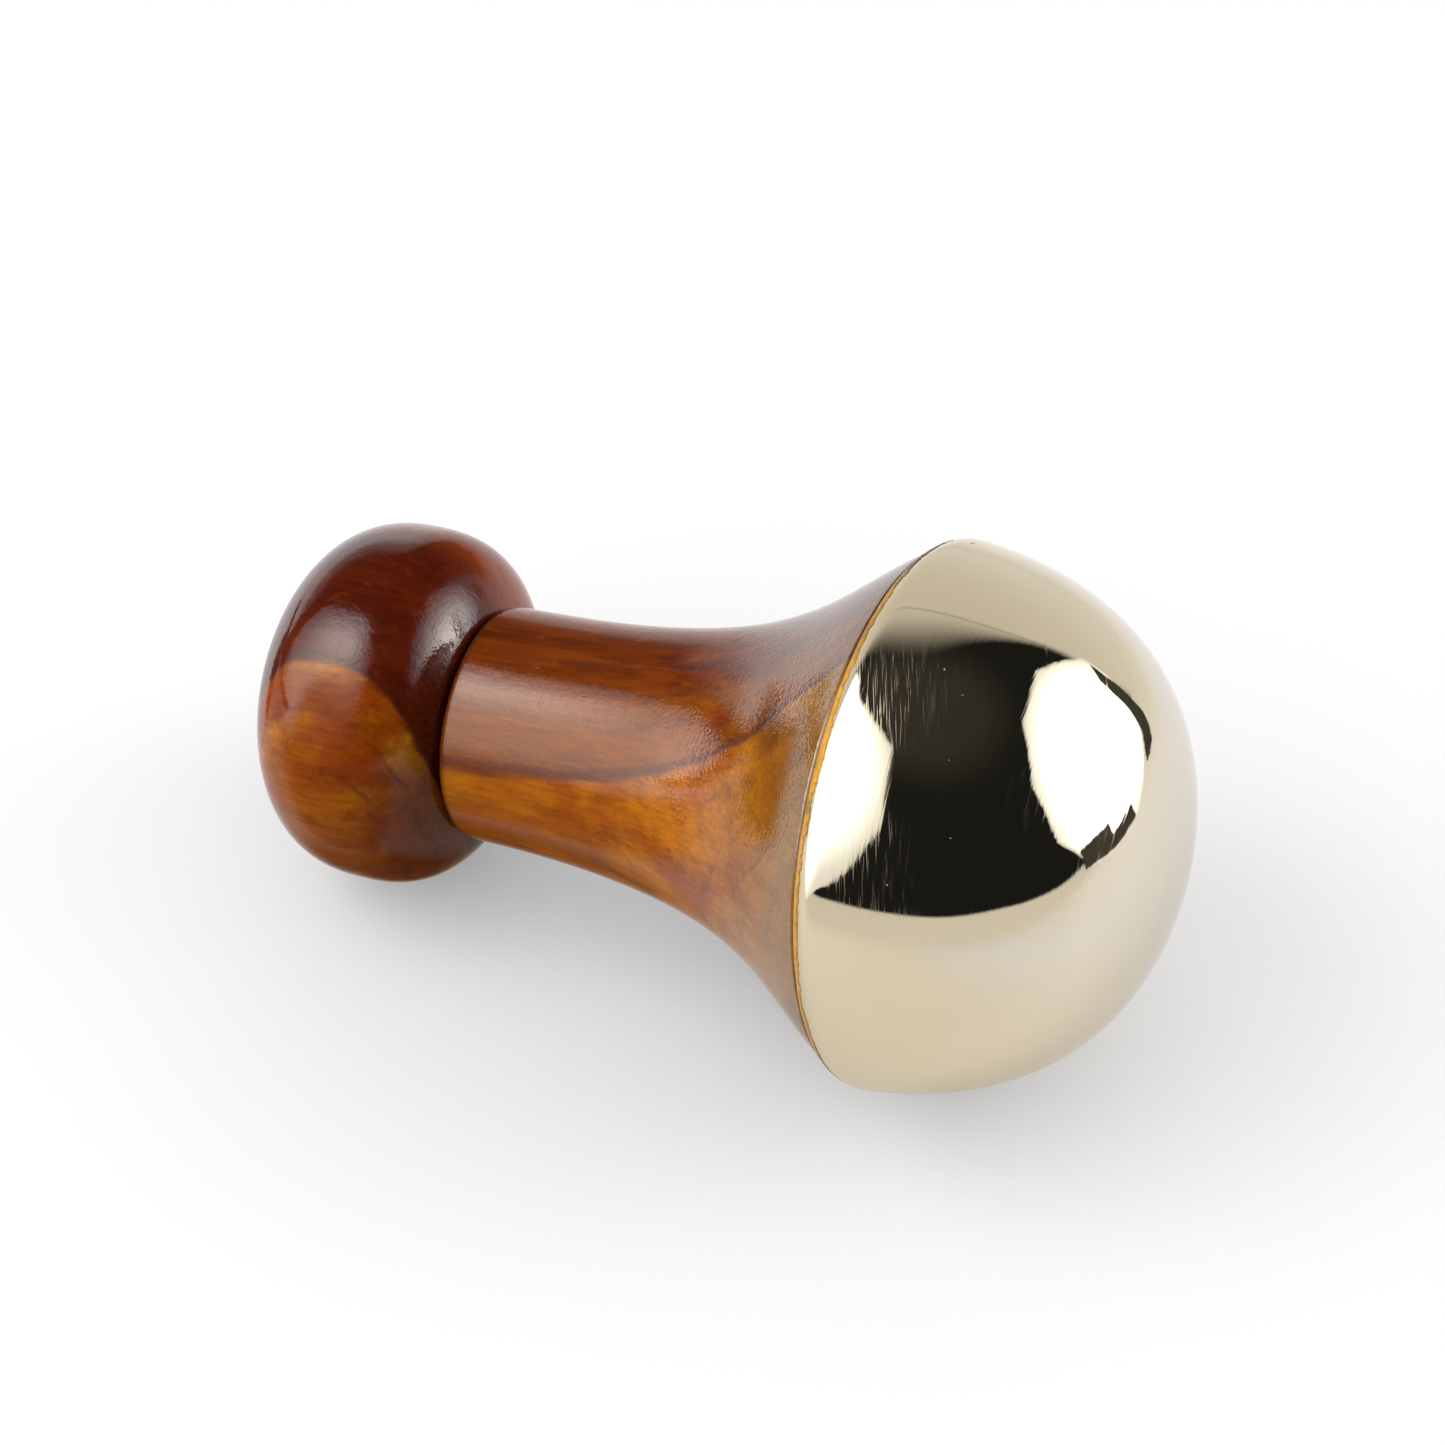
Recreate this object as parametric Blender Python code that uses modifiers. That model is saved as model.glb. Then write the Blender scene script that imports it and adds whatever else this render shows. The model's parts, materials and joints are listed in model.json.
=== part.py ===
"""Bronze-domed massage wand.

A turned hardwood handle with a ball pommel at one end and, at the other, a
polished bell-metal cup bedded in lac over a wooden core.  The wand lies on
the plane z = 0, resting on its dome and on its pommel.  The dome is at the +X
end, the axis climbs a little towards it, and the wand is centred on x = 0.

Profiles are lists of (radius, station): radius is the distance from the
wand's axis, and station is measured along the axis from the neck, where the
pommel meets the handle, towards the dome.
"""

from math import asin, cos, hypot, pi, radians, sin

import bpy

MM = 0.001

# ---------------------------------------------------------------- dimensions
# A slope or taper is an angle from the axis.  A pull is the length of a
# Bezier handle, which sets how long the curve keeps its end direction.

# Clearance between pieces that touch, which stands for the glue film.
GAP = 0.30 * MM

# Pommel: a squat ball whose two halves are superellipses of different length,
# one towards the neck and one towards the free end.
POMMEL_RADIUS = 23.50 * MM
POMMEL_CENTRE = -13.30 * MM
POMMEL_NECK_LENGTH = 14.74 * MM
POMMEL_NECK_POWER = 2.61
POMMEL_END_LENGTH = 15.37 * MM
POMMEL_END_POWER = 2.51
POMMEL_FLAT_RADIUS = 7.00 * MM      # parting-off flat at the free end

# Tenon on the pommel and the mortise bored for it in the neck.
TENON_RADIUS = 6.00 * MM
TENON_LENGTH = 22.00 * MM
TENON_CHAMFER = 0.80 * MM
MORTISE_RADIUS = TENON_RADIUS + GAP
MORTISE_DEPTH = TENON_LENGTH + 1.00 * MM

# Handle: waist and flare are one cubic curve from the neck to the collar edge.
NECK_RADIUS = 15.37 * MM
NECK_EASE = 0.90 * MM               # rounded edge at the neck end
NECK_SLOPE = radians(0.3)
NECK_PULL = 43.46 * MM
COLLAR_RADIUS = 34.07 * MM
COLLAR_STATION = 58.96 * MM
COLLAR_SLOPE = radians(31.0)
COLLAR_PULL = 16.14 * MM
COLLAR_FACE = COLLAR_STATION - 0.50 * MM    # wood stops short of the joint line
COLLAR_EDGE_EASE = 0.35 * MM                # eased edge, measured along the axis
COLLAR_EDGE_INSET = 0.6 * COLLAR_EDGE_EASE  # eased edge, measured radially
FLARE_CLEARANCE = 0.40 * MM                 # flare points keep this far from the edge

# Dome: a tight rounded shoulder at the lip, then one long cubic to the tip.
DOME_RADIUS = 35.00 * MM            # where the shoulder meets the side
DOME_WALL = 2.00 * MM
SHOULDER_SLOPE = radians(41.0)
SHOULDER_LIP_PULL = 1.81 * MM
SHOULDER_TOP_PULL = 2.08 * MM
SHOULDER_STATION = 62.82 * MM
DOME_TAPER = radians(7.3)
DOME_SIDE_PULL = 24.25 * MM
DOME_TIP_PULL = 15.86 * MM
DOME_TIP = 94.48 * MM
LIP_TRIM = 0.20                     # share of the shoulder curve left off at the lip
LIP_ROUNDING = 0.35 * MM

# Wooden core under the dome, with one shallow groove that keys the lac.
BEDDING_THICKNESS = 1.50 * MM
CORE_INSET = DOME_WALL + 2 * GAP + BEDDING_THICKNESS
CORE_SPANS = 9                      # shared by the core and the lac over it
GROOVE_WIDTH = 2.60 * MM
GROOVE_DEPTH = 1.20 * MM
GROOVE_STATION = 60.60 * MM

# Lac: bedding and bead both start just above the collar face.
LAC_FLOOR = COLLAR_FACE + GAP
BEAD_INNER_RADIUS = 32.90 * MM
BEAD_WIDTH = 0.80 * MM
BEAD_CROWN = 34.52 * MM

# Facets round the axis, shared by every turned piece so that they nest.
FACETS = 40
MERGE_DISTANCE = 0.02 * MM

# Search for the resting slope, and the finer outline it works on.
STEEPEST_SLOPE = radians(30)
SLOPE_HALVINGS = 60
OUTLINE_SPANS = 40

COAT_ROUGHNESS = 0.12


# ------------------------------------------------------------ profile curves
def spread(start, end, count):
    """Evenly spaced values over count spans, both ends included."""
    return [start + (end - start) * i / count for i in range(count + 1)]


def cubic(controls, count, start=0.0):
    """Points on a cubic Bezier curve, from parameter start to its end."""
    points = []
    for after in spread(start, 1.0, count):
        before = 1 - after
        weights = (before ** 3, 3 * after * before ** 2,
                   3 * after * after * before, after ** 3)
        points.append(tuple(sum(weight * value for weight, value in zip(weights, values))
                            for values in zip(*controls)))
    return points


def pulled(point, pull, slope):
    """Bezier handle that leaves a profile point at a slope from the axis."""
    radius, station = point
    return radius + pull * sin(slope), station + pull * cos(slope)


def arc(centre_radius, centre_station, size, start, end, count):
    """Points on a circle in the profile plane; angle 0 points outwards."""
    return [(centre_radius + size * cos(angle), centre_station + size * sin(angle))
            for angle in spread(start, end, count)]


def offset_inwards(points, distance):
    """Shift a lip-to-tip run of dome points towards the inside of the dome."""
    shifted = []
    for i, (radius, station) in enumerate(points):
        if radius < 1e-9:           # the tip stays on the axis
            shifted.append((0.0, station - distance))
            continue
        radius_before, station_before = points[max(i - 1, 0)]
        radius_after, station_after = points[min(i + 1, len(points) - 1)]
        run = radius_after - radius_before
        rise = station_after - station_before
        length = hypot(run, rise)
        shifted.append((radius - distance * rise / length,
                        station + distance * run / length))
    return shifted


def pommel_half(length, power, start, end, count):
    """Quarter superellipse; angle 0 is the widest circle, pi/2 the pole."""
    return [(POMMEL_RADIUS * cos(angle) ** (2 / power),
             POMMEL_CENTRE + length * sin(angle) ** (2 / power))
            for angle in spread(start, end, count)]


def superellipse_angle(reach, power):
    """Angle at which a superellipse reaches the given share of its length."""
    return asin(reach ** (power / 2))


def ball_profile(count):
    """Ball surface from the neck side round to the parting-off flat."""
    neck_reach = (-GAP - POMMEL_CENTRE) / POMMEL_NECK_LENGTH
    neck_angle = superellipse_angle(neck_reach, POMMEL_NECK_POWER)
    flat_share = (POMMEL_FLAT_RADIUS / POMMEL_RADIUS) ** POMMEL_END_POWER
    flat_reach = (1 - flat_share) ** (1 / POMMEL_END_POWER)
    flat_angle = superellipse_angle(flat_reach, POMMEL_END_POWER)
    neck_half = pommel_half(POMMEL_NECK_LENGTH, POMMEL_NECK_POWER, neck_angle, 0.0, count)
    end_half = pommel_half(-POMMEL_END_LENGTH, POMMEL_END_POWER, 0.0, flat_angle, count)
    return neck_half + end_half[1:]


def shaft_curve(count):
    """Waist and flare, from the neck to the collar edge."""
    neck = (NECK_RADIUS, 0.0)
    collar = (COLLAR_RADIUS, COLLAR_STATION)
    return cubic((neck,
                  pulled(neck, NECK_PULL, NECK_SLOPE),
                  pulled(collar, -COLLAR_PULL, COLLAR_SLOPE),
                  collar), count)


def shoulder_curve(count):
    """Rounded shoulder, from the trimmed lip to the foot of the dome's side."""
    joint = (COLLAR_RADIUS, COLLAR_STATION)
    top = (DOME_RADIUS, SHOULDER_STATION)
    return cubic((joint,
                  pulled(joint, SHOULDER_LIP_PULL, SHOULDER_SLOPE),
                  pulled(top, -SHOULDER_TOP_PULL, -DOME_TAPER),
                  top), count, start=LIP_TRIM)


def dome_curve(count):
    """Dome surface from the top of its shoulder to the tip."""
    foot = (DOME_RADIUS, SHOULDER_STATION)
    return cubic((foot,
                  pulled(foot, DOME_SIDE_PULL, -DOME_TAPER),
                  (DOME_TIP_PULL, DOME_TIP),
                  (0.0, DOME_TIP)), count)


def dome_surface():
    """Outer surface of the cup, from its lip to its tip."""
    return shoulder_curve(4) + dome_curve(14)[1:]


def keyed_wall(radius, width, bottom):
    """Wall of the core, downwards from its groove (or from the lac's rib)."""
    groove_top = GROOVE_STATION + width / 2
    groove_bottom = GROOVE_STATION - width / 2
    return [(radius, groove_top),
            (radius - GROOVE_DEPTH, groove_top),
            (radius - GROOVE_DEPTH, groove_bottom),
            (radius, groove_bottom),
            (radius, bottom)]


# -------------------------------------------------------------- object tools
def material(name, colour, roughness, metallic=0.0, coat=0.0):
    made = bpy.data.materials.new(name)
    made.use_nodes = True
    inputs = made.node_tree.nodes["Principled BSDF"].inputs
    inputs["Base Color"].default_value = (*colour, 1.0)
    inputs["Roughness"].default_value = roughness
    inputs["Metallic"].default_value = metallic
    inputs["Coat Weight"].default_value = coat
    inputs["Coat Roughness"].default_value = COAT_ROUGHNESS
    made.diffuse_color = (*colour, 1.0)
    return made


def turned(name, points, finish, axis, closed=False):
    """Spin a profile about the wand's axis.

    The profile starts at the dome side and runs down the outer side.  An open
    one starts on the axis; a closed one makes a ring.
    """
    mesh = bpy.data.meshes.new(name)
    edges = [(i, i + 1) for i in range(len(points) - 1)]
    if closed:
        edges.append((len(points) - 1, 0))
    mesh.from_pydata([(radius, 0.0, station) for radius, station in points], edges, [])
    mesh.materials.append(finish)
    piece = bpy.data.objects.new(name, mesh)
    axis.users_collection[0].objects.link(piece)
    piece.parent = axis
    spin = piece.modifiers.new("turn", "SCREW")
    spin.axis = "Z"
    spin.angle = 2 * pi
    spin.screw_offset = 0.0
    spin.steps = FACETS
    spin.render_steps = FACETS
    spin.use_merge_vertices = True
    spin.merge_threshold = MERGE_DISTANCE
    spin.use_smooth_shade = True
    return piece


def weighted_normals(piece):
    shading = piece.modifiers.new("shading", "WEIGHTED_NORMAL")
    shading.keep_sharp = True


# ------------------------------------------------------------------- resting
def lowest_height(profile, slope):
    """Lowest point of the turned profile, relative to the neck centre."""
    return min(station * sin(slope) - radius * cos(slope) for radius, station in profile)


def resting_slope(profile):
    """Slope of the axis at which pommel and dome reach equally low.

    The slope is found by halving an interval.
    """
    pommel_side = [point for point in profile if point[1] < 0]
    dome_side = [point for point in profile if point[1] >= 0]
    low, high = 0.0, STEEPEST_SLOPE
    for _ in range(SLOPE_HALVINGS):
        middle = (low + high) / 2
        if lowest_height(dome_side, middle) < lowest_height(pommel_side, middle):
            low = middle
        else:
            high = middle
    return high


def lay_axis(group):
    """Empty that carries the whole assembly, with the wand's axis as local Z."""
    outline = ball_profile(OUTLINE_SPANS) + shaft_curve(OUTLINE_SPANS) + dome_surface()
    slope = resting_slope(outline)
    reach = [station * cos(slope) + side * radius * sin(slope)
             for radius, station in outline for side in (-1, 1)]
    axis = bpy.data.objects.new("wand_axis", None)
    axis.empty_display_size = 0.02
    axis.location = (-(min(reach) + max(reach)) / 2, 0.0, -lowest_height(outline, slope))
    axis.rotation_euler = (0.0, pi / 2 - slope, 0.0)
    group.objects.link(axis)
    return axis


# -------------------------------------------------------------------- pieces
def build_pommel(axis, finish):
    """Ball and tenon, turned from one blank."""
    points = [(0.0, TENON_LENGTH),
              (TENON_RADIUS - TENON_CHAMFER, TENON_LENGTH),
              (TENON_RADIUS, TENON_LENGTH - TENON_CHAMFER),
              (TENON_RADIUS, -GAP)]
    points += ball_profile(9)
    points.append((0.0, points[-1][1]))
    return turned("pommel", points, finish, axis)


def build_handle(axis, finish):
    """Core, collar face and edge, flare, waist, neck and mortise."""
    core_dome = offset_inwards(dome_curve(CORE_SPANS), CORE_INSET)
    # The eased edge meets the flare at the last fine step below the ease.
    edge_radius, edge_station = [point for point in shaft_curve(200)
                                 if point[1] <= COLLAR_FACE - COLLAR_EDGE_EASE][-1]
    points = core_dome[::-1]
    points += keyed_wall(core_dome[0][0], GROOVE_WIDTH, COLLAR_FACE)
    points += [(edge_radius - COLLAR_EDGE_INSET, COLLAR_FACE),
               (edge_radius, edge_station)]
    points += [point for point in reversed(shaft_curve(16))
               if NECK_EASE * 2 < point[1] < edge_station - FLARE_CLEARANCE]
    points += arc(NECK_RADIUS - NECK_EASE, NECK_EASE, NECK_EASE, 0.0, -pi / 2, 3)
    points += [(MORTISE_RADIUS, 0.0),
               (MORTISE_RADIUS, MORTISE_DEPTH),
               (0.0, MORTISE_DEPTH)]
    return turned("handle", points, finish, axis)


def build_dome(axis, finish):
    """Outer surface, thickened inwards, with its lip edges rounded."""
    dome = turned("bronze_dome", dome_surface()[::-1], finish, axis)
    wall = dome.modifiers.new("wall", "SOLIDIFY")
    wall.thickness = DOME_WALL
    wall.offset = -1.0
    wall.use_even_offset = True
    lip = dome.modifiers.new("lip_rounding", "BEVEL")
    lip.width = LIP_ROUNDING
    lip.segments = 2
    lip.limit_method = "ANGLE"
    lip.angle_limit = radians(50)
    return dome


def build_bedding(axis, finish):
    """Lac between core and dome, with a rib that fills the groove."""
    skirt_radius = BEAD_INNER_RADIUS - GAP
    outer = [(min(radius, skirt_radius), station)
             for radius, station in offset_inwards(dome_surface(), DOME_WALL + GAP)
             if station > COLLAR_STATION + DOME_WALL]
    inner = offset_inwards(dome_curve(CORE_SPANS), CORE_INSET - GAP)
    points = outer[::-1]
    points.append((outer[0][0], LAC_FLOOR))
    points += reversed(keyed_wall(inner[0][0], GROOVE_WIDTH - 2 * GAP, LAC_FLOOR))
    points += inner
    return turned("dome_bedding", points, finish, axis)


def build_bead(axis, finish):
    """Lac ring with a half-round rim, between the collar face and the lip."""
    rounding = BEAD_WIDTH / 2
    points = [(BEAD_INNER_RADIUS, LAC_FLOOR + BEAD_WIDTH)]
    points += arc(BEAD_CROWN - rounding, LAC_FLOOR + rounding, rounding, pi / 2, -pi / 2, 6)
    points.append((BEAD_INNER_RADIUS, LAC_FLOOR))
    return turned("rim_lac_bead", points, finish, axis, closed=True)


# --------------------------------------------------------------------- build
for existing in list(bpy.data.objects):
    bpy.data.objects.remove(existing, do_unlink=True)

bronze = material("polished_bell_metal", colour=(0.78, 0.66, 0.44), roughness=0.08,
                  metallic=1.0)
wood = material("lacquered_hardwood", colour=(0.30, 0.075, 0.020), roughness=0.30,
                coat=0.8)
ball_wood = material("lacquered_hardwood_ball", colour=(0.25, 0.055, 0.016),
                     roughness=0.28, coat=0.8)
lac = material("amber_lac", colour=(0.50, 0.24, 0.04), roughness=0.25)
bedding_lac = material("bedding_lac", colour=(0.12, 0.05, 0.02), roughness=0.55)

wand = bpy.data.collections.new("massage_wand")
bpy.context.scene.collection.children.link(wand)
wand_axis = lay_axis(wand)

# Weighted normals come last on every piece, after the dome's wall and lip.
for build, finish in ((build_pommel, ball_wood),
                      (build_handle, wood),
                      (build_dome, bronze),
                      (build_bedding, bedding_lac),
                      (build_bead, lac)):
    weighted_normals(build(wand_axis, finish))
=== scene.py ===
# A wand: a turned, lacquered hardwood handle with a separate ball pommel, and a
# polished bell-metal dome whose rim is sealed with a ragged bead of lac.
# It lies on the table (z = 0) on its ball and its dome, its axis in the XZ plane
# and nearly level, with the dome towards +X.  The camera looks from -Y, above.
import json
from math import asin, cos, hypot, pi, radians, sin

import bpy
from mathutils import Matrix, Vector, noise

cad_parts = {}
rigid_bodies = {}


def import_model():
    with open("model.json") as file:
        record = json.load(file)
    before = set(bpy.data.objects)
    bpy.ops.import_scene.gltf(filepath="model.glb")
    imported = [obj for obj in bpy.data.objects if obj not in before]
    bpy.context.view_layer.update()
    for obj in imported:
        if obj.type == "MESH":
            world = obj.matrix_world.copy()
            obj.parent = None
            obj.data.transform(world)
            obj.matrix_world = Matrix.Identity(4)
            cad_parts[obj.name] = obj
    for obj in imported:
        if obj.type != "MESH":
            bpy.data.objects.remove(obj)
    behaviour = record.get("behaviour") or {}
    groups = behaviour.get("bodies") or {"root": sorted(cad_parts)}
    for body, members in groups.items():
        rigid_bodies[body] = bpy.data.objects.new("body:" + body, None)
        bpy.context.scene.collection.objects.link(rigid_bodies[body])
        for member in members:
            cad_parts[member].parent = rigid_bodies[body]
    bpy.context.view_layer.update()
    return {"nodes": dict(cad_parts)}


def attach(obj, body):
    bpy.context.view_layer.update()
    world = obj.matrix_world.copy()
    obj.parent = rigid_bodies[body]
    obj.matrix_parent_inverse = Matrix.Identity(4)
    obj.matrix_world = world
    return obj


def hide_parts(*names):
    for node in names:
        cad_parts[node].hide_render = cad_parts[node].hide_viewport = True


MM = 0.001

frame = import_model()
for existing in list(bpy.data.objects):
    if existing.type in {"CAMERA", "LIGHT"}:
        bpy.data.objects.remove(existing)

scene = bpy.context.scene
scene.view_settings.view_transform = "Standard"
scene.view_settings.look = "None"
scene.view_settings.exposure = 0.0
scene.view_settings.gamma = 1.0

# ---------------------------------------------------------------------------
# Driving dimensions, in the wand's own frame.  Local Z runs from the neck (0)
# towards the dome; local X points down at rest, so -X is the upper side.
# A station is a place along Z.  A slope is measured from the axis, and a pull
# is the length of a Bezier handle.
# ---------------------------------------------------------------------------
POMMEL_RADIUS = 23.50 * MM
POMMEL_CENTRE = -13.30 * MM
POMMEL_BACK_LENGTH, POMMEL_BACK_POWER = 15.37 * MM, 2.51
POMMEL_FRONT_LENGTH, POMMEL_FRONT_POWER = 14.74 * MM, 2.61
POMMEL_FLAT_RADIUS = 7.00 * MM
NECK_RADIUS, NECK_SLOPE, NECK_PULL = 15.37 * MM, radians(0.3), 43.46 * MM
COLLAR_RADIUS, COLLAR_STATION = 34.07 * MM, 58.96 * MM
COLLAR_SLOPE, COLLAR_PULL = radians(31.0), 16.14 * MM
DOME_RADIUS, DOME_WALL = 35.00 * MM, 2.00 * MM
SHOULDER_SLOPE, SHOULDER_LIP_PULL, SHOULDER_TOP_PULL = radians(41.0), 1.81 * MM, 2.08 * MM
SHOULDER_STATION, DOME_TAPER = 62.82 * MM, radians(7.3)
DOME_SIDE_PULL, DOME_TIP_PULL, DOME_TIP = 24.25 * MM, 15.86 * MM, 94.48 * MM
TENON_RADIUS, TENON_LENGTH = 6.00 * MM, 22.00 * MM
CORE_INSET = 4.10 * MM
SHOULDER_FACE = COLLAR_STATION - 0.10 * MM    # top of the visible wood


# ---------------------------------------------------------------------------
# Profiles: lists of (radius, station)
# ---------------------------------------------------------------------------
def cubic(controls, count, start=0.0, end=1.0):
    """Bezier curve through four controls, sampled from start to end."""
    points = []
    for i in range(count + 1):
        t = start + (end - start) * i / count
        weights = (1 - t) ** 3, 3 * t * (1 - t) ** 2, 3 * t * t * (1 - t), t ** 3
        points.append(tuple(sum(weight * control[axis] for weight, control
                                in zip(weights, controls)) for axis in (0, 1)))
    return points


def arc(centre, radius, start, end, count):
    angles = [start + (end - start) * i / count for i in range(count + 1)]
    return [(centre[0] + radius * cos(angle), centre[1] + radius * sin(angle))
            for angle in angles]


def offset_inwards(points, distance):
    shifted = []
    for i, (radius, station) in enumerate(points):
        radius_0, station_0 = points[max(i - 1, 0)]
        radius_1, station_1 = points[min(i + 1, len(points) - 1)]
        length = hypot(radius_1 - radius_0, station_1 - station_0)
        if radius < 1e-9:
            shifted.append((0.0, station - distance))
        else:
            shifted.append((radius - distance * (station_1 - station_0) / length,
                            station + distance * (radius_1 - radius_0) / length))
    return shifted


def pommel_half(length, power, start, end, count):
    """Part of a superellipse; a negative length runs away from the neck."""
    angles = [start + (end - start) * i / count for i in range(count + 1)]
    return [(POMMEL_RADIUS * cos(angle) ** (2 / power),
             POMMEL_CENTRE + length * sin(angle) ** (2 / power)) for angle in angles]


def ball_profile(count, gap):
    """Ball from a gap below the neck to the flat at its far end."""
    reach = (-gap - POMMEL_CENTRE) / POMMEL_FRONT_LENGTH
    front_end = asin(reach ** (POMMEL_FRONT_POWER / 2))
    share = (POMMEL_FLAT_RADIUS / POMMEL_RADIUS) ** POMMEL_BACK_POWER
    back_end = asin(((1 - share) ** (1 / POMMEL_BACK_POWER)) ** (POMMEL_BACK_POWER / 2))
    front = pommel_half(POMMEL_FRONT_LENGTH, POMMEL_FRONT_POWER, front_end, 0.0, count)
    back = pommel_half(-POMMEL_BACK_LENGTH, POMMEL_BACK_POWER, 0.0, back_end, count)
    return front + back[1:]


def shaft_curve(count):
    return cubic(((NECK_RADIUS, 0.0),
                  (NECK_RADIUS + NECK_PULL * sin(NECK_SLOPE), NECK_PULL * cos(NECK_SLOPE)),
                  (COLLAR_RADIUS - COLLAR_PULL * sin(COLLAR_SLOPE),
                   COLLAR_STATION - COLLAR_PULL * cos(COLLAR_SLOPE)),
                  (COLLAR_RADIUS, COLLAR_STATION)), count)


def shoulder_curve(count, start=0.0, end=1.0):
    return cubic(((COLLAR_RADIUS, COLLAR_STATION),
                  (COLLAR_RADIUS + SHOULDER_LIP_PULL * sin(SHOULDER_SLOPE),
                   COLLAR_STATION + SHOULDER_LIP_PULL * cos(SHOULDER_SLOPE)),
                  (DOME_RADIUS + SHOULDER_TOP_PULL * sin(DOME_TAPER),
                   SHOULDER_STATION - SHOULDER_TOP_PULL * cos(DOME_TAPER)),
                  (DOME_RADIUS, SHOULDER_STATION)), count, start, end)


def dome_curve(count):
    return cubic(((DOME_RADIUS, SHOULDER_STATION),
                  (DOME_RADIUS - DOME_SIDE_PULL * sin(DOME_TAPER),
                   SHOULDER_STATION + DOME_SIDE_PULL * cos(DOME_TAPER)),
                  (DOME_TIP_PULL, DOME_TIP), (0.0, DOME_TIP)), count)


def wand_matrix():
    """Place of the wand's axis when it lies on its ball and its dome."""
    outline = ball_profile(60, 0.3 * MM) + shaft_curve(60) + shoulder_curve(12) + dome_curve(80)

    def sag(part, slope):
        """Height of the part's lowest point, relative to the axis origin."""
        return min(station * sin(slope) - radius * cos(slope) for radius, station in part)

    ball_side = [point for point in outline if point[1] < 0]
    dome_side = [point for point in outline if point[1] >= 0]
    low, high = 0.0, radians(30)
    for _ in range(60):    # halve the range until both sides touch the table
        middle = (low + high) / 2
        if sag(dome_side, middle) < sag(ball_side, middle):
            low = middle
        else:
            high = middle
    extent = [station * cos(high) + side * radius * sin(high)
              for radius, station in outline for side in (-1, 1)]
    place = Vector((-(min(extent) + max(extent)) / 2, 0.0, -sag(outline, high)))
    return Matrix.Translation(place) @ Matrix.Rotation(pi / 2 - high, 4, "Y")


WAND = wand_matrix()


# ---------------------------------------------------------------------------
# Mesh building
# ---------------------------------------------------------------------------
def add_mesh(name, points, faces):
    mesh = bpy.data.meshes.new(name)
    mesh.from_pydata(points, [], faces)
    mesh.update()
    obj = bpy.data.objects.new(name, mesh)
    scene.collection.objects.link(obj)
    return obj


def wand_solid(name, points, faces, sharp=None):
    """Smooth-shaded mesh in the wand's frame; edges above `sharp` degrees stay crisp."""
    obj = add_mesh(name, [WAND @ Vector(point) for point in points], faces)
    obj.data.shade_smooth()
    if sharp:
        obj.data.set_sharp_from_angle(angle=radians(sharp))
    return obj


def spin_mesh(name, profile, segments, shape, sharp=None):
    """Closed solid of revolution.  The profile starts and ends on the axis and
    runs from the dome side down the outer side.  shape(radius, station, angle,
    index) gives the radius that a ring has at an angle."""
    points, rings = [], []
    for index, (radius, station) in enumerate(profile):
        if radius < 1e-7:
            rings.append([len(points)])
            points.append((0.0, 0.0, station))
            continue
        ring = []
        for j in range(segments):
            angle = 2 * pi * j / segments
            shaped = shape(radius, station, angle, index)
            ring.append(len(points))
            points.append((shaped * cos(angle), shaped * sin(angle), station))
        rings.append(ring)
    faces = []
    for upper, lower in zip(rings, rings[1:]):
        for j in range(segments):
            k = (j + 1) % segments
            if len(upper) == 1:
                faces.append((upper[0], lower[j], lower[k]))
            elif len(lower) == 1:
                faces.append((upper[j], lower[0], upper[k]))
            else:
                faces.append((upper[j], lower[j], lower[k], upper[k]))
    return wand_solid(name, points, faces, sharp)


def ring_mesh(name, section_at, segments):
    """Closed ring; section_at(angle) gives the points of its cross-section."""
    points, faces = [], []
    for j in range(segments):
        angle = 2 * pi * j / segments
        section = section_at(angle)
        size = len(section)
        points += [(radius * cos(angle), radius * sin(angle), station)
                   for radius, station in section]
    for j in range(segments):
        k = (j + 1) % segments
        for i in range(size):
            following = (i + 1) % size
            faces.append((j * size + i, k * size + i, k * size + following,
                          j * size + following))
    return wand_solid(name, points, faces)


def ring_noise(angle, scale, seed, depth=3):
    """Noise that closes on itself round a ring."""
    place = Vector((cos(angle) * scale, sin(angle) * scale, seed * 7.3))
    return noise.fractal(place, 0.6, 2.1, depth)


def skin_noise(angle, scale, height):
    """Slow noise over a turned surface."""
    return noise.fractal(Vector((cos(angle) * scale, sin(angle) * scale, height)), 0.7, 2.0, 2)


# ---------------------------------------------------------------------------
# Shader helpers
# ---------------------------------------------------------------------------
def arithmetic(operation, swapped=False):
    def method(self, other):
        pair = (other, self) if swapped else (self, other)
        return self.nodes.math(operation, *pair)
    return method


class Signal:
    """A shader value.  Arithmetic on it adds Math nodes."""
    __add__ = arithmetic("ADD")
    __radd__ = arithmetic("ADD", swapped=True)
    __sub__ = arithmetic("SUBTRACT")
    __rsub__ = arithmetic("SUBTRACT", swapped=True)
    __mul__ = arithmetic("MULTIPLY")
    __truediv__ = arithmetic("DIVIDE")
    __pow__ = arithmetic("POWER")
    __rpow__ = arithmetic("POWER", swapped=True)
    max = arithmetic("MAXIMUM")

    def __init__(self, nodes, socket):
        self.nodes = nodes
        self.socket = socket

    def __abs__(self):
        return self.nodes.math("ABSOLUTE", self)

    def rest(self):
        """One minus the value, clamped to 0..1."""
        return self.nodes.math("SUBTRACT", 1.0, self, clamp=True)

    def rise(self, low, high):
        """Smooth step from 0 at low to 1 at high."""
        return self.nodes.signal("ShaderNodeMapRange", {0: self, 1: low, 2: high},
                                 interpolation_type="SMOOTHSTEP")

    def fall(self, low, high):
        """Smooth step from 1 at low to 0 at high."""
        return self.rise(low, high).rest()

    def band(self, centre, half, soft):
        """1 within half of the centre, with edges that blur by soft."""
        return abs(self - centre).fall(half - soft, half + soft)

    def between(self, low, high, soft):
        """1 from low to high, with edges that blur by soft."""
        return self.rise(low - soft, low + soft) * self.fall(high - soft, high + soft)


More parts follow.
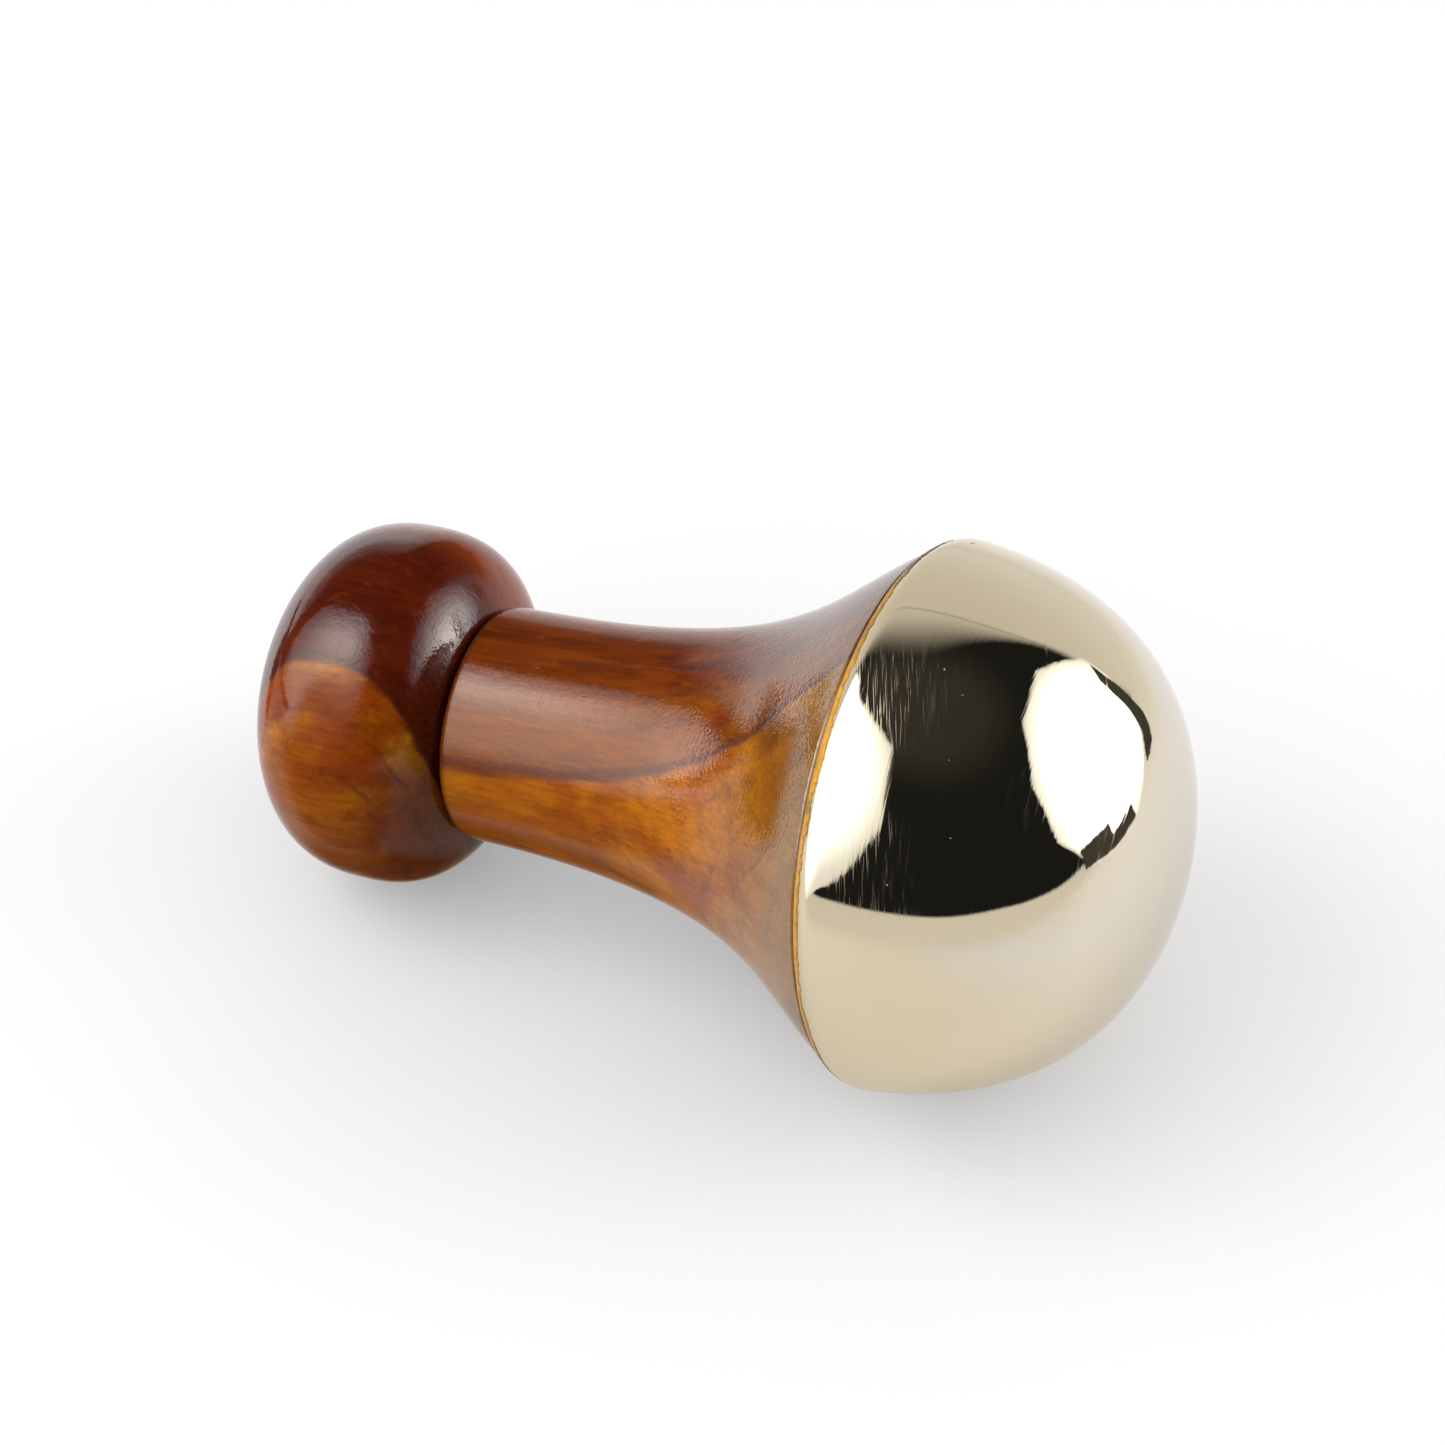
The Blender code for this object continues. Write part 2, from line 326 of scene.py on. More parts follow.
class Nodes:
    """Builds nodes in a shader tree."""

    def __init__(self, tree):
        self.tree = tree

    def put(self, node, values):
        """Links or sets a node's inputs.  Colours may leave out their alpha."""
        for key, value in values.items():
            socket = node.inputs[key]
            if isinstance(value, Signal):
                value = value.socket
            if isinstance(value, bpy.types.NodeSocket):
                self.tree.links.new(value, socket)
            elif socket.type == "RGBA" and len(value) == 3:
                socket.default_value = (*value, 1.0)
            else:
                socket.default_value = value

    def add(self, kind, values=None, **settings):
        node = self.tree.nodes.new(kind)
        for key, value in settings.items():
            setattr(node, key, value)
        self.put(node, values or {})
        return node

    def signal(self, kind, values=None, output=0, **settings):
        return Signal(self, self.add(kind, values, **settings).outputs[output])

    def math(self, operation, first, second=0.0, clamp=False):
        return self.signal("ShaderNodeMath", {0: first, 1: second, 2: 0.0},
                           operation=operation, use_clamp=clamp)

    def vector(self, operation, first, second=(0, 0, 0)):
        scalar = operation in {"DOT_PRODUCT", "LENGTH", "DISTANCE"}
        return self.signal("ShaderNodeVectorMath", {0: first, 1: second},
                           "Value" if scalar else "Vector", operation=operation)

    def scale(self, vector, factor):
        return self.signal("ShaderNodeVectorMath", {0: vector, 1: (0, 0, 0), "Scale": factor},
                           "Vector", operation="SCALE")

    def stretch(self, vector, factors):
        return self.vector("MULTIPLY", vector, factors)

    def distance_from(self, point, centre):
        return self.vector("LENGTH", self.vector("SUBTRACT", point, centre))

    def split(self, vector):
        node = self.add("ShaderNodeSeparateXYZ", {0: vector})
        return [Signal(self, socket) for socket in node.outputs]

    def combine(self, *values):
        return self.signal("ShaderNodeCombineXYZ", dict(enumerate(values)))

    def compass(self, x, y, z):
        """Azimuth (0 along +Y, 90 along +X) and elevation, in degrees."""
        elevation = self.math("ARCSINE", z) * (180 / pi)
        azimuth = self.math("ARCTAN2", x, y) * (180 / pi)
        return azimuth, elevation

    def mix(self, factor, first, second, blend="MIX"):
        return self.signal("ShaderNodeMix", {0: factor, 6: first, 7: second}, 2,
                           data_type="RGBA", blend_type=blend)

    def mix_shader(self, factor, first, second):
        return self.signal("ShaderNodeMixShader", {0: factor, 1: first, 2: second})

    def ramp(self, factor, stops):
        """Linear ramp; each stop is (position, grey level or colour)."""
        node = self.add("ShaderNodeValToRGB", {0: factor})
        elements = node.color_ramp.elements
        while len(elements) < len(stops):
            elements.new(0.5)
        for element, (position, colour) in zip(elements, stops):
            element.position = position
            if isinstance(colour, (int, float)):
                colour = (colour, colour, colour)
            element.color = (*colour, 1.0)
        return Signal(self, node.outputs[0])

    def noise(self, vector, scale, detail, rough, distort=0.0, w=None):
        values = {"Vector": vector, "Scale": scale, "Detail": detail, "Roughness": rough,
                  "Distortion": distort}
        if w is not None:
            values["W"] = w
        return self.signal("ShaderNodeTexNoise", values,
                           noise_dimensions="3D" if w is None else "4D")

    def cells(self, vector, scale=1.0, dimensions="3D", channel=0):
        """Distance to the nearest cell's centre, and that cell's random tag."""
        node = self.add("ShaderNodeTexVoronoi", feature="F1", voronoi_dimensions=dimensions)
        self.put(node, {"Vector": vector, "Scale": scale})
        tag = self.signal("ShaderNodeSeparateColor", {0: node.outputs["Color"]}, channel)
        return Signal(self, node.outputs["Distance"]), tag

    def bump(self, height, depth):
        """Normal over a height field; depth is one unit of height in metres."""
        return self.signal("ShaderNodeBump", {"Strength": 1.0, "Distance": 1.0,
                                              "Height": height * depth})


class Material(Nodes):
    def __init__(self, name):
        self.material = bpy.data.materials.new(name)
        self.material.use_nodes = True
        super().__init__(self.material.node_tree)
        self.bsdf = self.tree.nodes["Principled BSDF"]
        self.out = self.tree.nodes["Material Output"]

    def principled(self, values):
        self.put(self.bsdf, values)

    def surface(self, shader):
        self.put(self.out, {"Surface": shader})

    def wand_point(self):
        """Position in the wand's own frame, in millimetres."""
        place = self.signal("ShaderNodeMapping", {
            "Vector": self.signal("ShaderNodeTexCoord", output="Object"),
            "Location": WAND.to_translation(),
            "Rotation": WAND.to_euler("XYZ")}, vector_type="TEXTURE")
        return self.scale(place, 1000.0)


# ---------------------------------------------------------------------------
# Wood under lacquer.  Fibres run along the wand; the growth rings are centred
# on a pith line that lies to the +Y side, close to the blank's edge, so the dark
# heartwood meets the amber sapwood in one line along the handle and the ball.
# Lengths in the materials are millimetres, colours are linear.
# ---------------------------------------------------------------------------
PITH_X, PITH_Y = -8.0, 33.7
RING_PITCH = 3.9
WOOD_SEED = 2.0
FACE = SHOULDER_FACE / MM
# darker patches on the upper side of the flare, partly the wood's own darker tone and partly
# painted dark reflection: centre, reach, tint
DARK_TONE_AND_REFLECTION_PATCHES = (((-23.5, -13.2, 49.0), 4.6, (0.55, 0.47, 0.55)),
          ((-19.0, -9.5, 39.8), 3.6, (0.82, 0.58, 1.25)))


def studio_gap(nodes, normal, ball, station):
    """Two masks over directions in the mirrored studio, in degrees: its unlit
    gaps, where the lacquer mirrors nothing, and the open table behind, which
    the lacquer mirrors most strongly."""
    # how far the upper gap drops and over which azimuths, the elevation where it
    # begins, and the share of -Y over which the table in front sets in
    if ball:
        drop_azimuth, drop_depth, above_from, front_share = (-26.0, -10.0), 24.0, 13.0, (0.46, 0.72)
    else:
        drop_azimuth, drop_depth, above_from, front_share = (-50.0, -36.0), 16.0, 11.0, (0.32, 0.54)
    back = nodes.scale(nodes.signal("ShaderNodeNewGeometry", output="Incoming"), -1.0)
    x, y, z = nodes.split(nodes.vector("REFLECT", back, normal))
    azimuth, elevation = nodes.compass(x, y, z)

    # upright gap between softbox and sweep, and level gap along the table's edge
    seam = -88.0 + elevation * 0.45
    upright = (azimuth.band(seam, half=7.0, soft=1.8)
               * elevation.between(low=-1.5, high=58.0, soft=2.5))
    edge = (azimuth + 93.0) * -0.20
    level = (elevation.band(edge, half=2.2, soft=1.2)
             * azimuth.between(low=-122.0, high=-64.0, soft=4.0))
    # tilted oval of dark table to the left, not mirrored near the flare's rim
    sideways = azimuth + 84.0
    upwards = elevation + 14.0
    along = sideways * -0.62 + upwards * -0.78
    across = sideways * 0.78 - upwards * 0.62
    spot = (along / 13.0) ** 2.0 + (across / 7.6) ** 2.0
    spot = spot.fall(0.7, 1.2) * station.fall(52.5, 55.5)
    # dark room above the sweep
    drop = azimuth.rise(*drop_azimuth) * drop_depth
    above = ((elevation + drop).rise(above_from, 26.0)
             * azimuth.between(low=-74.0, high=24.0, soft=5.0))
    open_table = (azimuth.between(low=-80.0, high=-25.0, soft=8.0)
                  * (elevation.rise(-40.0, -20.0) * elevation.fall(3.0, 12.0)))
    # table in the wand's own shade, towards the viewer and right below
    front = (y * -1.0).rise(*front_share) * elevation.fall(-7.0, 1.0) * 0.80
    gap = upright.max(level).max((spot * 0.95).max(above))
    under = elevation.fall(-72.0, -52.0) * 1.0
    gap = gap.max(front.max(under))
    if ball:
        full_azimuth = azimuth + nodes.math("LESS_THAN", azimuth, 0.0) * 360.0
        low = (full_azimuth.between(low=150.0, high=228.0, soft=9.0)
               * elevation.fall(20.0, 70.0))
        gap = gap.max(low * 0.85)
    return gap, open_table


def wood_grain(nodes, point, lengthwise, scale, detail, rough, distort, shift):
    """Noise drawn out along the fibres; a small lengthwise share draws it out far."""
    return nodes.noise(nodes.stretch(point, (1.0, 1.0, lengthwise)), scale, detail, rough,
                       distort, w=WOOD_SEED + shift)


def wood_patches(nodes, vector, shift):
    """Slow, soft noise that tells where a detail shows."""
    return nodes.noise(vector, scale=1.0, detail=2.0, rough=0.5, w=WOOD_SEED + shift)


def wood_pores(nodes, point, z):
    """Short dark dashes along the fibres, in patches and all over the flare."""
    distance, tag = nodes.cells(nodes.stretch(point, (1.0, 1.0, 0.22)))
    thin = distance.fall(0.05, 0.15)
    patchy = wood_patches(nodes, nodes.scale(point, 0.12), shift=7.7).rise(0.50, 0.68)
    patchy = nodes.math("ADD", patchy, z.rise(44.0, 50.0) * 0.6, clamp=True)
    return thin * (tag.rise(0.60, 0.72) * patchy)


def wood_colour(nodes, point, fibre, ball, heart, tan_share,
                amber, amber_deep, red, red_deep, line):
    x, y, z = nodes.split(point)
    # growth-ring radius, with a slow and a crisp waver
    radius = nodes.math("SQRT", (x - PITH_X) ** 2.0 + (y - PITH_Y) ** 2.0)
    waver = wood_patches(nodes, nodes.stretch(point, (0.09, 0.09, 0.030)), shift=0.0) - 0.5
    crisp = nodes.noise(nodes.stretch(point, (0.5, 0.5, 0.12)), scale=1.0, detail=3.0,
                        rough=0.6, w=WOOD_SEED + 4.0) - 0.5
    ring = radius + (waver * 2.4 + crisp * 0.9)
    off = ring - heart    # distance outside the heartwood
    sapwood = off.rise(-0.55, 0.55)
    streak = wood_grain(nodes, point, lengthwise=0.05, scale=0.42, detail=4.0, rough=0.6,
                        distort=0.5, shift=8.7)
    cloud = wood_grain(nodes, point, lengthwise=0.55, scale=0.105, detail=4.0, rough=0.55,
                       distort=0.8, shift=5.2)
    mottle = wood_grain(nodes, point, lengthwise=0.7, scale=0.34, detail=4.0, rough=0.6,
                        distort=0.4, shift=6.4)
    # rings: thin purple-brown lines, broken up and of unequal weight
    saw = nodes.math("FRACT", (off + waver * 1.5) / RING_PITCH + 8.02)
    late = nodes.ramp(saw, [(0.0, 0.55), (0.05, 0.0), (0.55, 0.0),
                            (0.86, 0.32), (0.96, 1.0), (1.0, 0.55)])
    weight = wood_patches(nodes, nodes.stretch(point, (0.20, 0.20, 0.05)), shift=1.4)
    late = late * weight.rise(0.42, 0.66)

    sap = nodes.mix(cloud.rise(0.38, 0.62), amber, amber_deep)
    # painted shade: the ball's sapwood deepens towards its underside, the side it rests on
    if ball:    # deeper towards the underside
        sap = nodes.mix(x.rise(-12.0, -3.0) * 0.75, sap, amber_deep)
    core = nodes.mix(streak.rise(0.34, 0.64), red, red_deep)
    core = nodes.mix(mottle.rise(0.55, 0.72) * 0.5, core, amber_deep)
    core = nodes.mix(off.rise(-10.0, -5.5) * 1.0 * tan_share, core, amber)
    core = nodes.mix(ring.fall(23.0, 31.0) * 0.85, core, amber_deep)
    colour = nodes.mix(sapwood, core, sap)
    colour = nodes.mix(mottle.rise(0.50, 0.70) * 0.38, colour, red)
    colour = nodes.mix(late * 0.55, colour, line)
    border = abs(off + 0.35).fall(0.12, 0.70)
    colour = nodes.mix(border * 0.70, colour, line)
    fibre_tone = nodes.ramp(fibre, [(0.28, 0.70), (0.5, 1.0), (0.74, 1.26)])
    colour = nodes.mix(1.0, colour, fibre_tone, "MULTIPLY")
    # figure: fine wandering veins, in patches
    vein = wood_grain(nodes, point, lengthwise=0.75, scale=0.22, detail=4.0, rough=0.6,
                      distort=0.9, shift=11.3)
    vein = abs(vein - 0.5).fall(0.0, 0.011)
    veined = wood_patches(nodes, nodes.scale(point, 0.10), shift=13.9).rise(0.46, 0.60)
    colour = nodes.mix(vein * veined * 0.38, colour, line)
    # the flare is a shade darker towards its rim, and the edges at the bead's seam and the neck's
    # seam carry painted shade
    colour = nodes.mix(z.rise(42.0, 57.0) * sapwood * 0.42, colour, (0.120, 0.056, 0.004))
    colour = nodes.mix(z.rise(37.0, 46.0), colour, (0.80, 0.86, 1.0), "MULTIPLY")
    colour = nodes.mix(z.rise(49.0, 57.0), colour, (0.84, 0.94, 1.0), "MULTIPLY")
    if not ball:
        # painted dark reflection over the wood's own darker tone, multiplied into the flare's
        # colour
        for centre, reach, tint in DARK_TONE_AND_REFLECTION_PATCHES:
            dark_tone_and_reflection = nodes.vector("DISTANCE", point, centre).fall(reach * 0.25, reach)
            colour = nodes.mix(dark_tone_and_reflection, colour, tint, "MULTIPLY")
    # painted shade: a dark line along the wood's edge at the bead's seam
    bead_seam_shade = z.rise(FACE - 0.26, FACE - 0.14)
    colour = nodes.mix(bead_seam_shade * 0.85, colour, (0.030, 0.010, 0.010))
    # painted shade on the eased edge beside the neck's seam
    neck = z.fall(0.25, 1.5) * z.rise(-0.20, -0.10)
    return nodes.mix(neck * 0.80, colour, red_deep), z


def lacquer(nodes, point, z, fibre, pore, ball):
    """Orange peel, fine grain near the flare, pits over the pores."""
    peel = nodes.noise(point, scale=0.85, detail=2.0, rough=0.5, w=WOOD_SEED + 2.0)
    stipple = nodes.noise(point, scale=2.4, detail=1.0, rough=0.5, w=WOOD_SEED + 6.0)
    flare = 0.35 + z.rise(22.0, 44.0) * 0.95
    height = peel * 0.040 + stipple * (flare * 0.055)
    height = height + fibre * 0.008 - pore * 0.030
    normal = nodes.bump(height, depth=0.001)
    soft_normal = nodes.bump(height, depth=0.00045)
    gap, open_table = studio_gap(nodes, soft_normal, ball, z)
    gap = gap.max(z.rise(FACE - 0.55, FACE - 0.35) * 0.90)
    # the coat mirrors more towards the rim and where it sees the open table
    thick = z.rise(26.0, 46.0) * 0.22 + (z.rise(46.0, 56.0) * 0.22 + z.rise(50.0, 57.0) * 0.25)
    if not ball:
        open_table = open_table * z.rise(34.0, 44.0)
    cloudy = nodes.noise(point, scale=0.12, detail=3.0, rough=0.6, w=WOOD_SEED + 9.0)
    nodes.principled({
        "Normal": normal,
        "Coat Normal": normal,
        "Coat Weight": gap.rest(),
        "Coat IOR": 1.29 + (thick + open_table * 0.72),
        "Coat Roughness": (0.095 if ball else 0.035) + cloudy.rise(0.4, 0.75) * 0.05})


def wood_material(name, ball, heart, tan_share, **colours):
    """heart is the heartwood's radius; tan_share is how far the heartwood turns
    amber beside the border."""
    nodes = Material(name)
    point = nodes.wand_point()
    fibre = wood_grain(nodes, point, lengthwise=0.06, scale=1.6, detail=5.0, rough=0.6,
                       distort=0.2, shift=3.1)
    colour, z = wood_colour(nodes, point, fibre, ball, heart, tan_share, **colours)
    pore = wood_pores(nodes, point, z)
    nodes.principled({
        "Base Color": nodes.mix(pore * 0.75, colour, (0.010, 0.002, 0.001)),
        "Roughness": 0.50 + fibre * 0.16,
        "Specular IOR Level": 0.02})
    lacquer(nodes, point, z, fibre, pore, ball)
    return nodes.material


handle_wood = wood_material(
    "lacquered_hardwood_handle", ball=False, heart=48.0, tan_share=0.30,
    amber=(0.225, 0.070, 0.0010), amber_deep=(0.155, 0.036, 0.0006),
    red=(0.088, 0.0165, 0.0008), red_deep=(0.044, 0.0064, 0.0004),
    line=(0.050, 0.0125, 0.0075))
ball_wood = wood_material(
    "lacquered_hardwood_ball", ball=True, heart=48.5, tan_share=0.0,
    amber=(0.228, 0.0860, 0.0012), amber_deep=(0.110, 0.0190, 0.0003),
    red=(0.044, 0.0048, 0.0002), red_deep=(0.029, 0.0024, 0.0001),
    line=(0.028, 0.0036, 0.0008))

# ---------------------------------------------------------------------------
# Bell metal, polished in the lathe
# ---------------------------------------------------------------------------
# the last wiping strokes on the dome, in the world's axes
WIPE_ACROSS = Vector((0.911, 0.412, 0.0))
WIPE_ALONG = Vector((-0.2985, 0.6596, 0.6899))


def lathe_mapper(nodes, x, y, z):
    """Returns a function that maps the surface along its profile and round it."""
    radius = nodes.math("SQRT", x ** 2.0 + y ** 2.0)
    angle = nodes.math("ARCTAN2", y, x)
    round_sin = nodes.math("SINE", angle)
    round_cos = nodes.math("COSINE", angle)
    profile = z - radius * 0.8

    def lathe(along, around, shift=0.0):
        return nodes.combine((profile + shift) * along, round_sin * around, round_cos * around)

    return lathe


def metal_scratches(nodes, point, lathe):
    """Straight wiping strokes, crowded in two patches, and some lathe scratches."""
    to_wand = WAND.to_3x3().inverted()
    stroke_across = nodes.vector("DOT_PRODUCT", point, tuple(to_wand @ WIPE_ACROSS))
    stroke_along = nodes.vector("DOT_PRODUCT", point, tuple(to_wand @ WIPE_ALONG))

    def strokes(across, along, tag_from, width, shift, lean):
        """Long thin cells; across and along are cells per millimetre."""
        place = nodes.combine((stroke_across + stroke_along * lean) * across,
                              stroke_along * along + shift)
        distance, tag = nodes.cells(place, dimensions="2D")
        return (distance.fall(width * 0.25, width)
                * (tag.rise(tag_from, tag_from + 0.3) * 1.0))

    def patch(centre, reach):
        return nodes.distance_from(point, centre).fall(reach * 0.35, reach)

    crowd = patch(centre=(-32.5, -10.5, 66.0), reach=11.0).max(
        patch(centre=(-19.0, -27.0, 69.0), reach=9.0) * 0.7)
    few = nodes.noise(lathe(along=0.07, around=1.1, shift=40.0), scale=1.0, detail=2.0,
                      rough=0.5, w=3.0).rise(0.50, 0.62)
    hair = strokes(across=5.2, along=0.08, tag_from=0.12, width=0.30, shift=3.3,
                   lean=0.02) * crowd
    hair = hair.max(strokes(across=4.4, along=0.13, tag_from=0.25, width=0.28, shift=31.7,
                            lean=-0.03) * crowd)
    hair = hair.max(strokes(across=2.2, along=0.12, tag_from=0.80, width=0.22, shift=71.0,
                            lean=0.05) * 0.7)
    distance, tag = nodes.cells(lathe(along=6.0, around=3.0, shift=3.3))
    scratch = distance.fall(0.12, 0.40) * tag.rise(0.72, 0.77)
    return hair.max(scratch * few * 0.6)


def metal_material():
    nodes = Material("polished_bell_metal")
    point = nodes.wand_point()
    lathe = lathe_mapper(nodes, *nodes.split(point))
    # turning and polishing lines, broken up round the dome
    lines = nodes.noise(lathe(along=1.5, around=1.6), scale=1.0, detail=3.0, rough=0.55, w=1.0)
    fine = nodes.noise(lathe(along=6.5, around=2.4), scale=1.0, detail=3.0, rough=0.6, w=4.0)
    swell = nodes.noise(nodes.scale(point, 0.085), scale=1.0, detail=2.0, rough=0.5, w=6.0)
    hair = metal_scratches(nodes, point, lathe)
    distance, tag = nodes.cells(point, scale=0.50, channel=1)
    speck = distance.fall(0.02, 0.055) * tag.rise(0.70, 0.74)
    # heights in millimetres
    height = lines * 0.0048 + fine * 0.0007 + swell * 0.020 - hair * 0.0006 - speck * 0.020
    normal = nodes.bump(height, depth=0.001)
    tone = nodes.noise(nodes.scale(point, 0.05), scale=1.0, detail=3.0, rough=0.5, w=2.0)
    colour = nodes.mix(tone.rise(0.3, 0.7), (0.715, 0.612, 0.430), (0.745, 0.640, 0.450))
    # a small casting pit by the shoulder, flattened along the wand: its shade is painted into the
    # colour, the surface has no hollow there
    pit = nodes.vector("SUBTRACT", point, (-28.98, 19.69, 62.75))
    pit = nodes.vector("LENGTH", nodes.stretch(pit, (1.1, 1.1, 2.6))).fall(0.35, 0.75)
    haze = nodes.noise(lathe(along=2.0, around=2.0, shift=9.0), scale=1.0, detail=4.0,
                       rough=0.6, w=7.0).rise(0.45, 0.75)
    nodes.principled({
        "Normal": normal,
        "Metallic": 1.0,
        "Base Color": nodes.mix(pit, colour, (0.05, 0.04, 0.025)),
        "Specular Tint": (0.98, 0.98, 0.97),
        "Roughness": 0.026 + haze * 0.020 + hair * 0.24})
    return nodes.material


metal = metal_material()


# ---------------------------------------------------------------------------
# Lac: the amber bead, and the hidden bedding under the dome
# ---------------------------------------------------------------------------
def lac_material():
    nodes = Material("amber_lac")
    point = nodes.wand_point()
    tone = nodes.noise(point, scale=0.22, detail=3.0, rough=0.6, w=1.0)
    grit = nodes.noise(point, scale=2.6, detail=3.0, rough=0.6, w=3.0)
    colour = nodes.ramp(tone, [(0.30, (0.11, 0.062, 0.008)), (0.42, (0.26, 0.135, 0.006)),
                               (0.54, (0.36, 0.170, 0.010)), (0.72, (0.17, 0.090, 0.012))])
    x, y, _ = nodes.split(point)
    # painted light and shade round the ring: duller away from the -Y side, painted shade on the
    # upper +Y side, a painted highlight at the -Y end
    colour = nodes.mix(y.rise(-14.0, -5.0) * 0.60, colour, (0.150, 0.092, 0.018))
    upper = x.fall(-12.0, 4.0)
    colour = nodes.mix(y.rise(4.0, 10.0) * upper * 0.75, colour, (0.032, 0.020, 0.010))
    colour = nodes.mix(y.fall(-29.0, -23.0) * 0.60, colour, (0.26, 0.150, 0.050))
    colour = nodes.mix(grit.rise(0.52, 0.70) * 0.6, colour, (0.035, 0.018, 0.004))
    nodes.principled({
        "Base Color": colour,
        "Roughness": 0.32,
        "Specular IOR Level": 0.2,
        "Normal": nodes.bump(grit, depth=0.00006)})
    return nodes.material


def srgb(*channels):
    """Linear colour from 0..255 sRGB channels."""
    def linear(value):
        value /= 255
        return value / 12.92 if value <= 0.04045 else ((value + 0.055) / 1.055) ** 2.4
    return tuple(linear(value) for value in channels)


def bedding_material():
    nodes = Material("bedding_lac")
    point = nodes.scale(nodes.signal("ShaderNodeTexCoord", output="Object"), 1000.0)
    tone = nodes.noise(point, scale=0.8, detail=4.0, rough=0.6)
    colour = srgb(90, 50, 22)
    darker = tuple(channel * 0.6 for channel in colour)
    nodes.principled({"Base Color": nodes.mix(tone, colour, darker), "Roughness": 0.6})
    return nodes.material


lac = lac_material()
bedding_slots = frame["nodes"]["dome_bedding"].data.materials
bedding_slots.clear()
bedding_slots.append(bedding_material())

# ---------------------------------------------------------------------------
# Pieces
# ---------------------------------------------------------------------------
WOOD_SEGMENTS = 288
DOME_SEGMENTS = 360
BEAD_SEGMENTS = 1440
WOOD_SHARP = 50    # degrees


def finish_piece(obj, material, cad_node):
    obj.data.materials.append(material)
    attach(obj, "root")
    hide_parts(cad_node)


def build_dome():
    """Metal dome: outer surface, rounded lip, inner surface."""
    ripple_height = 0.010 * MM
    lip_inset, lip_drop = 0.10 * MM, 0.30 * MM
    outer = shoulder_curve(14, start=0.04) + dome_curve(90)[1:]
    inner = offset_inwards(shoulder_curve(6, start=0.30) + dome_curve(40)[1:], DOME_WALL)
    lip = [(outer[0][0] * (1 - t) + inner[0][0] * t - lip_inset * sin(pi * t),
            outer[0][1] * (1 - t) + inner[0][1] * t - lip_drop * sin(pi * t))
           for t in (0.2, 0.4, 0.6, 0.8)]

    def shape(radius, station, angle, index):
        """A hand-polished, not quite true skin."""
        if index < len(outer):
            radius += ripple_height * skin_noise(angle, 1.3, station * 30)
        return radius

    return spin_mesh("polished_dome", list(reversed(outer)) + lip + inner, DOME_SEGMENTS, shape)


def build_handle():
    """Visible flare and waist, the grooved core under the dome, and the bore
    for the pommel's tenon."""
    edge = 0.22 * MM    # eased edge at the shoulder face
    face_step = 0.25 * MM
    groove_low, groove_high, groove_depth = 59.30 * MM, 61.90 * MM, 1.20 * MM
    neck_ease = 1.0 * MM
    bore_radius, bore_length = TENON_RADIUS + 0.3 * MM, TENON_LENGTH + 1 * MM
    ripple_height = 0.035 * MM

    core = offset_inwards(dome_curve(24), CORE_INSET)
    shaft = [point for point in shaft_curve(150) if point[1] < SHOULDER_FACE - edge * 0.8]
    top_radius = shaft[-1][0]
    core_radius = core[0][0]
    inside = list(reversed(core)) + [
        (core_radius, groove_high), (core_radius - groove_depth, groove_high),
        (core_radius - groove_depth, groove_low), (core_radius, groove_low),
        (core_radius, SHOULDER_FACE - face_step),
        (top_radius - edge * 1.2, SHOULDER_FACE - face_step)]
    outside = [(top_radius - edge * 0.45, SHOULDER_FACE - 0.05 * MM - edge * 0.15),
               (top_radius - edge * 0.10, SHOULDER_FACE - edge * 0.45)]
    outside += [point for point in reversed(shaft) if point[1] > neck_ease * 1.3]
    outside += arc((NECK_RADIUS - neck_ease, neck_ease), neck_ease, 0.0, -pi / 2, 8)
    bore = [(bore_radius, 0.0), (bore_radius, bore_length), (0.0, bore_length)]

    def shape(radius, station, angle, index):
        if len(inside) <= index < len(inside) + len(outside):
            radius += ripple_height * skin_noise(angle, 0.9, station * 55)
        return radius

    return spin_mesh("turned_handle", inside + outside + bore, WOOD_SEGMENTS, shape, WOOD_SHARP)


def build_pommel():
    """Ball and tenon; the ball's ripple dies out towards its flat."""
    gap = 0.25 * MM    # between the ball and the neck
    chamfer = 0.8 * MM
    ripple_height, ripple_fade = 0.05 * MM, 4 * MM
    tenon = [(0.0, TENON_LENGTH), (TENON_RADIUS - chamfer, TENON_LENGTH),
             (TENON_RADIUS, TENON_LENGTH - chamfer), (TENON_RADIUS, -gap)]
    ball = ball_profile(64, gap)

    def shape(radius, station, angle, index):
        if index >= len(tenon):
            ripple = skin_noise(angle, 0.8, 5 + station * 50)
            share = min(1.0, max(0.0, (radius - POMMEL_FLAT_RADIUS) / ripple_fade))
            radius += ripple_height * ripple * share
        return radius

    return spin_mesh("turned_pommel", tenon + ball + [(0.0, ball[-1][1])], WOOD_SEGMENTS,
                     shape, WOOD_SHARP)


